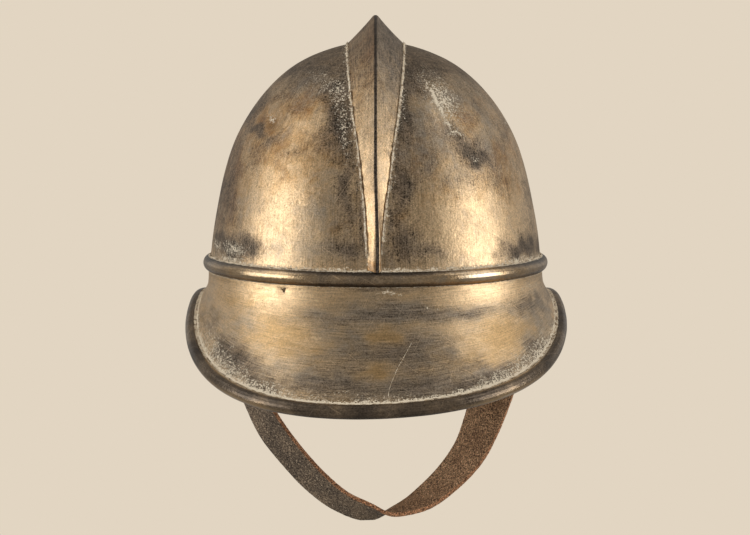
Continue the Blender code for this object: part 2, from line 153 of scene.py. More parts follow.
CROWN_GOLD = (
    (-43, 99, 15, 7, 0.9), (-66, 88, 8, 9, 1), (-40, 74, 20, 10, 0.7), (-86, 52, 6, 24, 1.05, -8),
    (-58, 72, 24, 20, 0.74), (56, 92, 7, 8, 0.7), (66, 50, 14, 10, 0.45), (76, 60, 7, 18, 0.8),
    (27, 72, 9, 10, 0.55), (14, 33, 3.5, 7, 0.65), (40, 48, 9, 8, 0.3), (-20, 33, 5, 10, 0.35),
    (-50, 30, 18, 24, -0.4), (60, 24, 22, 18, -0.5),
)
CROWN_GREY = (
    (-30, 112, 16, 8, 0.6), (-34, 38, 9, 10, 0.45), (-30, 17, 18, 6, 0.35), (30, 90, 12, 24, 0.5),
    (50, 104, 14, 12, 0.4), (66, 84, 8, 16, 0.35), (-78, 36, 6, 10, 0.3), (-52, 16, 10, 6, 0.3),
    (-52, 34, 14, 20, -0.2), (58, 30, 16, 16, -0.2),
)
# The chalk on the dent at (-62, 90) is painted highlight as well as residue.
CROWN_CHALK = (
    (-22, 106, 7, 12, 0.52, 8), (-31, 110, 14, 9, 0.46), (-18, 84, 4.5, 24, 0.5, 4), (-84, 13, 11, 4.5, 0.6),
    (-96, 13, 3, 4, 0.55), (-62, 90, 3, 2, 0.78), (-58, 93, 5, 1.2, 0.5, 60), (-79, 59, 1.2, 2, 0.6),
    (40, 100, 19, 10, 0.68, -53), (36.5, 97.5, 16, 1.1, 1, -61), (46, 81.5, 8, 1.8, 0.6, -5),
    (62, 104, 4, 3, 0.5), (59, 67, 5, 2, 0.5, -30), (70, 96, 12, 3, 0.44, -50), (15, 102, 4, 18, 0.5, 3),
    (-86, 7, 14, 2.2, 0.62), (85, 7, 14, 2.2, 0.62), (79, 88, 3, 8, 0.5, -15), (30, 107, 4, 2, 0.6, -40),
)

# Dents on the front of the crown, in millimetres: across, up, half width, half height, depth
CROWN_DENTS = ((-61, 90, 5, 5, 1.7), (46, 97, 9, 13, 0.6))
# Crease: start across and up, direction across and up, half width, length, depth
CREASE = (28.7, 112.5, 0.48, -0.875, 2.2, 34, 0.9)

# Wear and painted highlights on the front of the brim, as on the crown; the thin dark band at (0, -6.5) just
# under the bead is painted shade as well as grime
BRIM_DARK = (
    (2, -42, 50, 14, 0.68), (10, -19, 36, 6.5, 0.8), (-22, -22, 24, 5.5, 0.78), (88, -20, 12, 7, 0.8),
    (50, -21, 20, 4, 0.65), (-80, -47, 16, 9, 1.1, -15), (-72, -57, 20, 6, 0.9, -30), (0, -58, 70, 8, 0.68),
    (-23, -48, 5, 9, 0.6), (60, -57, 30, 5, 0.85, 18), (96, -46, 7, 12, 0.8, 20), (0, -45, 30, 6, 0.45),
    (-99, -30, 6, 12, 0.7), (30, -46, 24, 6, 0.45), (0, -6.5, 34, 1.8, 0.9), (102, -22, 4, 12, 0.6),
    (-56, -13, 28, 8, -0.9), (60, -9, 24, 4, -0.8), (72, -34, 15, 7, -0.85, 8), (-50, -34, 24, 9, -0.8),
    (34, -30, 12, 3, -0.3), (44, -46, 12, 4, -0.15), (-92, -24, 9, 9, -0.45), (3, -49.5, 6, 3, -1.45),
    (3, -32.6, 6, 3, -0.7), (98, -33, 6, 15, 0.3, 10), (52, -50, 22, 6, 0.5, 14),
)
BRIM_GOLD = (
    (-97, -25, 7, 6, 0.65), (-86, -17, 10, 5, 0.55), (-56, -33, 14, 6, 0.75), (-42, -41, 12, 4, 0.65),
    (74, -35, 13, 7, 0.9, 8), (62, -47, 10, 3, 0.6), (42, -46, 9, 4, 0.6), (3, -32.6, 6, 2.4, 0.8),
    (3, -49.5, 6, 2.8, 1.05), (-48, -24, 20, 4, 0.4), (56, -13, 20, 5, -0.3),
)
BRIM_GREY = (
    (-78, -30, 8, 6, 0.2), (-14, -36, 26, 6, 0.35), (24, -38, 24, 6, 0.4), (52, -57, 26, 5, 0.4, 16),
    (0, -56, 40, 4, 0.45), (-60, -50, 14, 6, 0.3, -16), (0, -20, 50, 4, 0.5), (-56, -13, 26, 8, -0.6),
    (60, -10, 24, 5, -0.6), (3, -49.5, 7, 3, -0.8), (3, -32.6, 7, 3, -0.6), (72, -34, 15, 7, -0.6, 8),
    (95, -30, 9, 14, 0.45, 10), (-48, -36, 18, 7, -0.5),
)
BRIM_CHALK = (
    (36, -17, 3.4, 1.6, 0.6), (32, -10, 16, 1.2, 0.5), (8, -9, 10, 1.4, 0.7), (29, -16, 4, 1, 0.55),
    (-96, -44, 8, 14, 0.55, 20), (-84, -54, 16, 8, 0.52, -35), (98, -40, 7, 16, 0.55, -20),
    (84, -54, 18, 7, 0.52, 30), (0, -62, 60, 3, 0.44), (93, -9, 8, 2, 0.6), (-70, -8, 14, 1.2, 0.55),
    (48, -8, 12, 1, 0.55),
)

# Thin scratch on the brim: turn from the front in degrees, share of the way from bead to edge
SCRATCH = (
    (12.6, 0.45), (9.6, 0.58), (7.4, 0.67), (5.8, 0.75), (4.3, 0.84), (3.9, 0.90), (4.4, 0.955),
)


def follow(rows, place, column=1):
    """Smooth curve through one column of a table whose first column grows."""
    at = [row[0] for row in rows]
    value = [row[column] for row in rows]
    place = min(max(place, at[0]), at[-1])
    step = [b - a for a, b in zip(at, at[1:])]
    rise = [(b - a) / s for a, b, s in zip(value, value[1:], step)]
    slope = [rise[0]]
    for i in range(1, len(rise)):
        slope.append((rise[i - 1] * step[i] + rise[i] * step[i - 1]) / (step[i - 1] + step[i]))
    slope.append(rise[-1])
    i = next(k for k in range(len(step)) if place <= at[k + 1])
    t = (place - at[i]) / step[i]
    start = value[i] * (1 + 2 * t) * (1 - t) ** 2 + step[i] * slope[i] * t * (1 - t) ** 2
    end = value[i + 1] * t * t * (3 - 2 * t) - step[i] * slope[i + 1] * t * t * (1 - t)
    return start + end


def turns(count):
    return [2 * math.pi * i / count for i in range(count)]


def crown_row(latitude, row_turns):
    """Places on the crown at one latitude, one for each turn from the front."""
    swell = follow(CROWN_SWELL, latitude)
    flat = swell * math.cos(math.radians(latitude))
    height = CROWN_HEIGHT * swell * math.sin(math.radians(latitude))
    return [(CROWN_HALF_WIDTH * flat * math.sin(a), -CROWN_HALF_LENGTH * flat * math.cos(a), height)
            for a in row_turns]


def crown_level(point):
    flat = math.hypot(point.x / CROWN_HALF_WIDTH, point.y / CROWN_HALF_LENGTH)
    rise = point.z / CROWN_HEIGHT
    if rise <= 0:
        return flat - 1.0
    return math.hypot(flat, rise) - follow(CROWN_SWELL, math.degrees(math.atan2(rise, flat)))


def last_true(low, high, steps, holds):
    """Largest value between two limits for which a test still holds."""
    for _ in range(steps):
        mid = (low + high) / 2
        if holds(mid):
            low = mid
        else:
            high = mid
    return low


def crown_share(height):
    return last_true(0.0, 1.5, 40, lambda at: crown_level(Vector((at * CROWN_HALF_WIDTH, 0.0, height))) < 0)


def plan_normal(turn):
    return Vector((math.sin(turn) / CROWN_HALF_WIDTH, -math.cos(turn) / CROWN_HALF_LENGTH, 0.0)).normalized()


def plan_point(turn, out, height):
    height += BEAD_WAVE * math.sin(turn) ** 2 - BEAD_WAVE * math.cos(turn) ** 2
    base = Vector((CROWN_HALF_WIDTH * math.sin(turn), -CROWN_HALF_LENGTH * math.cos(turn), height))
    return base + plan_normal(turn) * out


def roll_centre(turn):
    across, along = math.sin(turn), math.cos(turn)
    front = along > 0
    reach = BRIM_FRONT_REACH if front else BRIM_REAR_REACH
    length = reach - BRIM_WIDEST_FORWARD if front else reach + BRIM_WIDEST_FORWARD
    x = BRIM_SHIFT + BRIM_HALF_WIDTH * across
    y = -BRIM_WIDEST_FORWARD - length * along
    behind = y > BRIM_ARCH_BACK
    end = BRIM_REAR_REACH if behind else -BRIM_FRONT_REACH
    full = math.hypot(BRIM_ARCH_BACK - end, BRIM_ARCH_ROUND) - BRIM_ARCH_ROUND
    share = (math.hypot(BRIM_ARCH_BACK - y, BRIM_ARCH_ROUND) - BRIM_ARCH_ROUND) / full
    bow = REAR_BOW if behind else FRONT_BOW
    drop = (BRIM_REAR_DROP if behind else BRIM_FRONT_DROP) - BRIM_TEMPLE_DROP
    z = -BRIM_TEMPLE_DROP - drop * ((1 + bow) * share - bow * share * share)
    tilt = math.tan(math.radians(BRIM_TILT)) * min(max(-y / BRIM_FRONT_REACH, 0.0), 1.0)
    return Vector((x, y, z + tilt * x))


def edge_frame(turn):
    centre = roll_centre(turn)
    step = 0.004
    along = (roll_centre(turn + step) - roll_centre(turn - step)).normalized()
    outward = Vector((along.y, -along.x, 0.0)).normalized()
    down = along.cross(outward)
    if down.z > 0:
        down = -down
    pitch = math.radians(BRIM_EDGE_PITCH)
    into = outward * math.cos(pitch) + down * math.sin(pitch)
    normal = outward * math.sin(pitch) - down * math.cos(pitch)
    return centre, into, normal


def brim_column(turn, shares):
    start = plan_point(turn, FIT_GAP + BRIM_WALL, -BRIM_COLLAR_DROP)
    centre, into, normal = edge_frame(turn)
    end = centre - into * (ROLL_RADIUS - ROLL_WALL - ROLL_GRIP) + normal * (BRIM_WALL / 2)
    length = (end - start).length
    frontness = math.cos(turn) ** 2
    neck = NECK_SHARE_SIDE + (NECK_SHARE_FRONT - NECK_SHARE_SIDE) * frontness
    first = start + Vector((0.0, 0.0, -neck * length))
    second = end - into * (EDGE_SHARE * length)
    made = []
    for share in shares:
        rest = 1 - share
        made.append(start * rest ** 3 + first * (3 * rest * rest * share)
                    + second * (3 * rest * share * share) + end * share ** 3)
    return made


def comb_frame(angle):
    def line(value):
        if value <= 90.0:
            return Vector(crown_row(value, [0.0])[0])
        return Vector(crown_row(180.0 - value, [math.pi])[0])
    along = (line(angle + 0.2) - line(angle - 0.2)).normalized()
    return line(angle), Vector((0.0, -along.z, along.y))


def crown_depth(origin, normal, x):
    start = origin + Vector((x, 0.0, 0.0))
    return last_true(-0.04, 0.01, 30, lambda at: crown_level(start + normal * at) < 0)


def bead_top(out):
    middle = BEAD_REACH - BEAD_RADIUS
    return math.sqrt(max(BEAD_RADIUS ** 2 - (out - middle) ** 2, 0.0))


def wall_inside(y, z):
    share = crown_share(max(z, 0.0))
    return CROWN_HALF_WIDTH * math.sqrt(max(share ** 2 - (y / CROWN_HALF_LENGTH) ** 2, 0.0)) - CROWN_WALL


def strap_half_span():
    return wall_inside(STRAP_WIDTH / 2, STUD_HEIGHT + STRAP_END) - FIT_GAP - STRAP_THICKNESS / 2


def stud_foot():
    return wall_inside(STUD_RADIUS, STUD_HEIGHT + STUD_RADIUS) - FIT_GAP


def arc(radius, first, last, steps):
    angles = [first + (last - first) * i / steps for i in range(steps + 1)]
    return [(radius * math.cos(a), radius * math.sin(a)) for a in angles]


def rough(point, size, seed=0.0):
    """Smooth noise about zero at a place, with features of the given size in metres."""
    return noise.noise(Vector(point) / size + Vector((seed, seed * 1.7, -seed)))


def rough_at(points, size, seed):
    return np.array([rough(p, size, seed) for p in points])


def bell(value, middle, width):
    return np.exp(-((value - middle) / width) ** 2)


def dip(x, z, across, up, wide, tall):
    return bell(x, across, wide) * bell(z, up, tall)


def limited(value):
    return max(0.0, min(1.0, value))


def front_share(points):
    """One on the front half, fading to nothing behind the sides."""
    return np.clip(1 - points[:, 1] / 0.03, 0, 1)


def cloud(points, marks, warp=(5.5, 5.5)):
    """Strength at each point of soft marks on the front, each given in millimetres."""
    high = np.zeros(len(points))
    low = np.zeros(len(points))
    moved = np.array([(rough(p, 0.013, 3.0) + 0.4 * rough(p, 0.005, 13.0),
                       rough(p, 0.013, 9.0) + 0.4 * rough(p, 0.005, 19.0)) for p in points]) * np.array(warp)
    x = points[:, 0] * 1000 + moved[:, 0]
    z = points[:, 2] * 1000 + moved[:, 1]
    for across, up, wide, tall, amount, *lean in marks:
        lean = math.radians(lean[0] if lean else 0)
        c, s = math.cos(lean), math.sin(lean)
        a = ((x - across) * c + (z - up) * s) / wide
        b = (-(x - across) * s + (z - up) * c) / tall
        spread = amount * np.exp(-0.5 * (a * a + b * b))
        high = np.maximum(high, spread)
        low = np.minimum(low, spread)
    return (high + low) * front_share(points)


def rear_stains(points, seed):
    return np.maximum(0, rough_at(points, 0.03, seed) - 0.1) * 1.6 * (1 - front_share(points))


# Values at each point: dark (tarnish and grime, on the bead, rim roll and comb also painted shade; below zero
# a painted highlight), gold tint, grey film and chalky residue.
WEAR_AND_PAINTED_LIGHT = ("dark", "gold", "grey", "chalk")


def named(wear_and_painted_light):
    """Rows of four amounts as the named values of a piece's points."""
    return dict(zip(WEAR_AND_PAINTED_LIGHT, np.array(wear_and_painted_light).T))


def as_grid(rows):
    return np.array([[tuple(p) for p in row] for row in rows])


def placed(name, data):
    """New object in the scene."""
    item = bpy.data.objects.new(name, data)
    bpy.context.scene.collection.objects.link(item)
    return item


def fill_mesh(mesh, shape):
    """Put a shape into a mesh, its faces turned outwards."""
    bmesh.ops.recalc_face_normals(shape, faces=shape.faces)
    shape.to_mesh(mesh)
    shape.free()


def grid_object(name, rows, material, cap=None, values=None):
    """Surface from closed rows of points, with a UV map in metres and named values at its points."""
    grid = as_grid(rows)
    high, wide = grid.shape[:2]
    points = grid.reshape(-1, 3)
    faces = []
    uvs = []
    girth = np.linalg.norm(np.diff(grid, axis=1), axis=2).sum(axis=1).max()
    lift = np.concatenate([[0], np.cumsum(np.linalg.norm(np.diff(grid, axis=0), axis=2).mean(axis=1))])
    for r in range(high - 1):
        for c in range(wide):
            d = (c + 1) % wide
            faces.append((r * wide + c, r * wide + d, (r + 1) * wide + d, (r + 1) * wide + c))
            u0, u1 = girth * c / wide, girth * (c + 1) / wide
            uvs.extend(((u0, lift[r]), (u1, lift[r]), (u1, lift[r + 1]), (u0, lift[r + 1])))
    if cap is not None:
        points = np.vstack([points, np.array(cap)[None]])
        top = len(points) - 1
        for c in range(wide):
            d = (c + 1) % wide
            faces.append(((high - 1) * wide + c, (high - 1) * wide + d, top))
            u0, u1 = girth * c / wide, girth * (c + 1) / wide
            uvs.extend(((u0, lift[-1]), (u1, lift[-1]), ((u0 + u1) / 2, lift[-1])))
    mesh = bpy.data.meshes.new(name)
    mesh.from_pydata([tuple(p) for p in points], [], faces)
    layer = mesh.uv_layers.new(name="surface")
    layer.data.foreach_set("uv", np.array(uvs, dtype=np.float32).ravel())
    for label, amount in (values or {}).items():
        amount = np.asarray(amount, dtype=np.float32)
        if len(amount) < len(points):
            amount = np.append(amount, amount[-1])
        mesh.attributes.new(label, "FLOAT", "POINT").data.foreach_set("value", amount)
    mesh.materials.append(material)
    mesh.shade_smooth()
    return placed(name, mesh)


def tube_object(name, rings, material, endless, values=None):
    """Closed section swept through stations; each ring is one station."""
    made = grid_object(name, rings + rings[:1] if endless else rings, material, values=values)
    mesh = made.data
    shape = bmesh.new()
    shape.from_mesh(mesh)
    if endless:
        bmesh.ops.remove_doubles(shape, verts=shape.verts, dist=0.000001)
    else:
        shape.verts.ensure_lookup_table()
        count = len(rings[0])
        shape.faces.new(list(reversed(shape.verts[:count])))
        shape.faces.new(shape.verts[-count:])
    fill_mesh(mesh, shape)
    mesh.shade_smooth()
    mesh.set_sharp_from_angle(angle=math.radians(50))
    return made


def add_wall(item, wall):
    item.data.materials.append(inside_brass)
    sheet = item.modifiers.new("Sheet", "SOLIDIFY")
    sheet.material_offset = 1
    sheet.thickness = wall
    sheet.offset = -1.0
    sheet.use_even_offset = True


# Materials
def linear(r, g, b):
    """Linear colour from 0 to 255 screen values."""
    made = []
    for v in (r, g, b):
        v /= 255
        made.append(v / 12.92 if v <= 0.04045 else ((v + 0.055) / 1.055) ** 2.4)
    return (*made, 1.0)


class Tree:
    """Short names for the nodes of a material or world."""

    def __init__(self, owner):
        owner.use_nodes = True
        self.owner = owner
        self.tree = owner.node_tree
        self.shader = self.tree.nodes.get("Principled BSDF")

    def feed(self, node, *inputs):
        """Give a node its inputs, each a pair of socket and value."""
        for label, value in inputs:
            if isinstance(value, bpy.types.NodeSocket):
                self.tree.links.new(value, node.inputs[label])
            else:
                node.inputs[label].default_value = value
        return node

    def node(self, kind, *inputs, **settings):
        made = self.tree.nodes.new(kind)
        for key, value in settings.items():
            setattr(made, key, value)
        return self.feed(made, *inputs)

    def value(self, label):
        return self.node("ShaderNodeAttribute", attribute_name=label).outputs["Fac"]

    def maths(self, operation, a, b=0.5, c=0.5, clamp=False):
        inputs = enumerate((a, b, c))
        return self.node("ShaderNodeMath", *inputs, operation=operation, use_clamp=clamp).outputs[0]

    def total(self, *parts):
        """Sum of (value, weight) pairs."""
        made = 0.0
        for value, weight in parts:
            made = self.maths("MULTIPLY_ADD", value, weight, made)
        return made

    def ramp(self, value, low, high, to_low=0.0, to_high=1.0):
        made = self.node("ShaderNodeMapRange", ("Value", value), ("From Min", low), ("From Max", high),
                         ("To Min", to_low), ("To Max", to_high), interpolation_type="SMOOTHSTEP")
        return made.outputs["Result"]

    def mix(self, amount, a, b):
        made = self.node("ShaderNodeMix", ("Factor", amount), ("A", a), ("B", b), data_type="RGBA")
        return made.outputs["Result"]

    def scaled(self, colour, factor):
        """Colour made lighter or darker by a factor."""
        return self.node("ShaderNodeHueSaturation", ("Color", colour), ("Value", factor)).outputs["Color"]

    def place(self, source="Object", scale=(1, 1, 1), turn=0.0):
        made = self.node("ShaderNodeTexCoord").outputs[source]
        for label, amount in (("Rotation", (0, 0, math.radians(turn))), ("Scale", scale)):
            made = self.node("ShaderNodeMapping", ("Vector", made), (label, amount)).outputs["Vector"]
        return made

    def noise(self, vector, scale=1.0, detail=4.0, roughness=0.55, distortion=0.0, output="Fac"):
        made = self.node("ShaderNodeTexNoise", ("Vector", vector), ("Scale", scale), ("Detail", detail),
                         ("Roughness", roughness), ("Distortion", distortion))
        return made.outputs[output]

    def noises(self, vector, scale=1.0, detail=4.0, roughness=0.55, distortion=0.0):
        """Three noises of one scale that vary on their own."""
        colour = self.noise(vector, scale, detail, roughness, distortion, "Color")
        return self.node("ShaderNodeSeparateColor", ("Color", colour)).outputs

    def bump(self, height, distance, strength=1.0, normal=None):
        inputs = [("Strength", strength), ("Distance", distance), ("Height", height)]
        if normal is not None:
            inputs.append(("Normal", normal))
        return self.node("ShaderNodeBump", *inputs).outputs["Normal"]


def brass(name, brush=(1400, 45), tone=1.0, marks=True, wear_and_sheen=0.0, gloss=0.17,
          grit=1.0, amber=0.0, amber_from=0.60, yellow=linear(206, 168, 118), streak=0.55,
          stretch=(1, 1, 1)):
    """Aged brass: pale and golden metal under patchy brown tarnish and grey film, brushed and scratched; the
    dark value also paints shade, and below zero it paints highlights lightened towards near white.
    """
    t = Tree(bpy.data.materials.new("aged_brass_" + name))
    spot = t.place()
    wide = t.place(scale=stretch)
    broad = t.noise(wide, 24, 3, 0.5)
    mid_dark, mid_gold, mid_grey = t.noises(wide, 72, 5, 0.62, 0.5)
    small_dark, small_gold, small_grey = t.noises(wide, 230, 4, 0.65, 0.3)
    fine, crumb, dust = t.noises(spot, 640, 4, 0.7)
    grain, speck, fleck = t.noises(spot, 1150, 2, 0.7)
    brushing = t.noise(t.place("UV", (*brush, 1)), 1.0, 3, 0.6)
    hair = t.noise(t.place("UV", (1500, 30, 1), 37), 1.0, 1, 0.5)
    hair_too = t.noise(t.place("UV", (1700, 36, 1), -62), 1.0, 1, 0.5)
    dark, gold, grey, chalk = [t.value(label) if marks else 0.0 for label in WEAR_AND_PAINTED_LIGHT]

    pale, warm, film = [tuple(v * tone for v in colour[:3]) + (1.0,)
                        for colour in (linear(230, 201, 161), yellow, linear(164, 155, 142))]
    tarnish_and_shade = linear(106, 93, 80)
    grime_and_shade = linear(50, 46, 44)

    golden = t.total((gold, 0.36), (mid_gold, 0.6), (small_gold, 0.4))
    colour = t.mix(t.ramp(golden, 0.42, 0.82, 0.0, 0.95), pale, warm)
    colour = t.mix(t.ramp(golden, amber_from, amber_from + 0.35, 0.0, amber), colour, linear(150, 106, 62))
    filmed = t.total((grey, 0.36), (mid_grey, 0.5), (small_grey, 0.3), (fine, 0.2))
    colour = t.mix(t.ramp(filmed, 0.42, 0.80, 0.0, 0.95), colour, film)
    # Painted highlight: where the dark value is below zero the metal is lightened towards near white.
    if marks:
        colour = t.mix(t.ramp(dark, -0.95, -0.15, 0.75, 0.0), colour, linear(250, 234, 210))
    # Brown tarnish and near-black grime where the dark value and noise are high; on the bead, rim roll and
    # comb this includes painted shade.
    stain_and_shade_sum = t.total((dark, 0.40), (broad, 0.20), (mid_dark, 0.26), (small_dark, 0.20), (fine, 0.18))
    stain_and_shade = t.ramp(stain_and_shade_sum, 0.39 - wear_and_sheen, 0.82 - wear_and_sheen)
    colour = t.mix(t.maths("MULTIPLY", stain_and_shade, 0.86), colour, tarnish_and_shade)
    deep = t.ramp(stain_and_shade_sum, 0.66, 0.98)
    colour = t.mix(t.maths("MULTIPLY", deep, 0.8), colour, grime_and_shade)
    pits = t.ramp(speck, 0.655, 0.71, 0.0, 0.6)
    colour = t.mix(pits, colour, grime_and_shade)
    strokes = t.total((brushing, streak), (grain, 0.9), (fine, 0.65), (small_grey, 0.35),
                      (1.0, 0.5 * (0.55 - streak)))
    lines = t.maths("MAXIMUM", t.ramp(hair, 0.68, 0.73), t.ramp(hair_too, 0.69, 0.74))
    depth = t.maths("MULTIPLY_ADD", stain_and_shade, 3.2 * grit, 1.5 * grit)
    factor = t.maths("MULTIPLY_ADD", t.maths("ADD", strokes, -1.225), depth, 1.0)
    factor = t.maths("MULTIPLY_ADD", lines, t.maths("MULTIPLY_ADD", stain_and_shade, 0.9, 0.2), factor)
    colour = t.scaled(colour, factor)
    crumbs = t.total((crumb, 0.42), (fleck, 0.42), (dust, 0.16))
    edge = t.total((chalk, -0.38), (stain_and_shade, -0.05), (1.0, 0.75))
    crust = t.ramp(t.maths("SUBTRACT", crumbs, edge), -0.02, 0.05)
    colour = t.mix(t.maths("MULTIPLY", crust, 0.92), colour, linear(240, 228, 205))

    bare = t.maths("MULTIPLY_ADD", stain_and_shade, -0.35, 1.0)
    shine = t.total((mid_grey, 0.25), (small_dark, 0.15), (stain_and_shade, 0.14), (crust, 0.4))
    waves = t.bump(mid_gold, 0.0012, 0.22)
    dents = t.bump(small_gold, 0.0003, 0.45, waves)
    rubbing_and_sheen = t.bump(brushing, 0.00008, 0.8, dents)
    grains = t.bump(fine, 0.00022, 0.6, rubbing_and_sheen)
    t.feed(t.shader, ("Base Color", colour), ("Normal", t.bump(crust, 0.00025, 0.8, grains)),
           ("Metallic", t.maths("MULTIPLY_ADD", crust, -0.9, bare, clamp=True)),
           ("Roughness", t.maths("ADD", shine, gloss, clamp=True)))
    return t.owner


def residue(name):
    """Dried polish left in the seams."""
    t = Tree(bpy.data.materials.new(name))
    spot = t.place()
    fine = t.noise(spot, 900, 5, 0.7)
    broad = t.noise(spot, 260, 4, 0.65)
    colour = t.mix(t.ramp(fine, 0.35, 0.65), linear(190, 166, 130), linear(250, 242, 224))
    colour = t.mix(t.ramp(broad, 0.48, 0.6, 0.0, 0.85), colour, linear(112, 88, 62))
    t.feed(t.shader, ("Base Color", colour), ("Roughness", 0.85), ("Normal", t.bump(fine, 0.0003)))
    return t.owner


def leather(name, base, other, speck, depth, scale=1.0):
    """Worn leather with a cracked grain."""
    t = Tree(bpy.data.materials.new(name))
    spot = t.place()
    broad = t.noise(spot, 60 * scale, 3, 0.5)
    fine = t.noise(spot, 700 * scale, 6, 0.7)
    cells = t.node("ShaderNodeTexVoronoi", ("Vector", spot), ("Scale", 900 * scale))
    colour = t.mix(t.ramp(broad, 0.35, 0.7), base, other)
    colour = t.mix(t.ramp(fine, 0.52, 0.75, 0.0, 0.8), colour, speck)
    colour = t.mix(t.ramp(cells.outputs["Distance"], 0.0, 0.35, 0.5, 0.0), colour, linear(34, 28, 24))
    grain = t.noise(spot, 1250, 2, 0.7)
    strokes = t.total((grain, 7.0), (fine, 3.0), (1.0, -3.88))
    colour = t.scaled(colour, t.maths("MAXIMUM", strokes, 0.15))
    cracks = t.bump(cells.outputs["Distance"], depth, 0.7)
    t.feed(t.shader, ("Base Color", colour), ("Roughness", t.ramp(fine, 0.3, 0.7, 0.75, 0.95)),
           ("Normal", t.bump(fine, depth, 1.0, cracks)))
    return t.owner


crown_brass = brass("crown", amber=0.75)
comb_brass = brass("comb", amber=0.75)
bead_brass = brass("bead", (900, 45), 0.90, gloss=-0.1, grit=0.55, amber=0.6)
brim_brass = brass("brim", (45, 1500), 1.06, grit=0.72, amber=0.9, amber_from=0.84,
                   yellow=linear(214, 180, 131), streak=0.95, stretch=(0.5, 0.5, 1.3))
roll_brass = brass("roll", (900, 45), 0.86, gloss=-0.16, grit=0.5, amber=0.5)
inside_brass = brass("inside", (600, 60), 0.9, marks=False, wear_and_sheen=0.05, gloss=0.3)
stud_brass = brass("stud", (900, 900), 0.8, marks=False)
polish = residue("polish_residue")
strap_outer = leather("strap_grain", linear(112, 98, 84), linear(142, 124, 104), linear(226, 208, 182),
                      0.0006)
strap_inner = leather("strap_suede", linear(160, 126, 96), linear(188, 152, 118), linear(234, 202, 166),
                      0.0005, 1.2)
strap_edge = leather("strap_cut_edge", linear(172, 124, 90), linear(194, 144, 108), linear(220, 178, 140),
                     0.0003, 1.5)


# Pieces
TURNS = 288
CROWN_ROWS = 120
turn_list = turns(TURNS)


def build_crown():
    rows = [[plan_point(turn, 0.0, z) for turn in turn_list] for z in (-CROWN_LIP, -0.003)]
    rows += [crown_row(90.0 * i / CROWN_ROWS, turn_list) for i in range(CROWN_ROWS)]
    grid = as_grid(rows)
    points = grid.reshape(-1, 3)
    inward = points / np.array([CROWN_HALF_WIDTH, CROWN_HALF_LENGTH, CROWN_HEIGHT]) ** 2
    inward = -inward / np.linalg.norm(inward, axis=1)[:, None]
    uneven = 0.00035 * (0.5 + 0.5 * rough_at(points, 0.034, 1.0))
    uneven += 0.00010 * (0.5 + 0.5 * rough_at(points, 0.011, 5.0))
    x, z = points[:, 0] * 1000, points[:, 2] * 1000
    across, up, ahead, rise, half, length, depth = CREASE
    side = -(x - across) * 0.87 - (z - up) * 0.49
    along = (x - across) * ahead + (z - up) * rise
    dents = depth * bell(side, 0, half) * (along > -2) * np.exp(-np.maximum(along - length, 0) ** 2 / 20)
    for across, up, wide, tall, depth in CROWN_DENTS:
        dents += depth * dip(x, z, across, up, wide, tall)
    uneven += np.where(points[:, 1] < 0, dents / 1000, 0.0)
    fade = np.clip((points[:, 2] - 0.003) / 0.006, 0, 1)
    points = points + inward * (uneven * fade)[:, None]
    share = [follow(COMB_SECTIONS, 90.0 * max(r - 2, 0) / CROWN_ROWS) for r in range(len(rows))]
    from_comb = np.abs(points[:, 0]) - np.repeat(np.array(share) * COMB_HALF_WIDTH, TURNS)
    past_comb = np.clip(from_comb, 0, 1)
    from_bead = points[:, 2] - BEAD_RADIUS
    past_bead = np.clip(from_bead, 0, 1)
    wander = rough_at(points, 0.008, 2.0)
    seam = bell(past_comb, 0, 0.0016 + 0.0009 * wander) * (points[:, 2] > 0.02)
    foot = bell(past_bead, 0, 0.0022 + 0.0012 * wander) * (from_bead > -0.0015)
    spread = np.where(points[:, 0] < 0, 0.46, 0.40) * bell(past_comb, 0, 0.0055)
    spread *= (0.6 + 0.4 * front_share(points)) * (points[:, 2] > 0.012)
    chalk = np.maximum.reduce([cloud(points, CROWN_CHALK, (2.0, 2.0)), 0.75 * seam, 0.75 * foot, spread,
                               0.42 * bell(past_bead, 0, 0.005)])
    # Darker towards the top of the crown.
    high = np.clip((points[:, 2] - 0.098) / 0.02, 0, 1) * 0.8
    beside = 0.8 * bell(from_comb, 0.003, 0.0022) * (points[:, 2] > 0.015)
    dark = np.maximum.reduce([cloud(points, CROWN_DARK), high, beside, rear_stains(points, 7.0)])
    values = dict(zip(WEAR_AND_PAINTED_LIGHT, (dark, cloud(points, CROWN_GOLD), cloud(points, CROWN_GREY), chalk)))
    made = grid_object("crown_shell", points.reshape(grid.shape), crown_brass, cap=(0.0, 0.0, CROWN_HEIGHT),
                       values=values)
    add_wall(made, CROWN_WALL)
    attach(made, "root")
    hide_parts("crown")


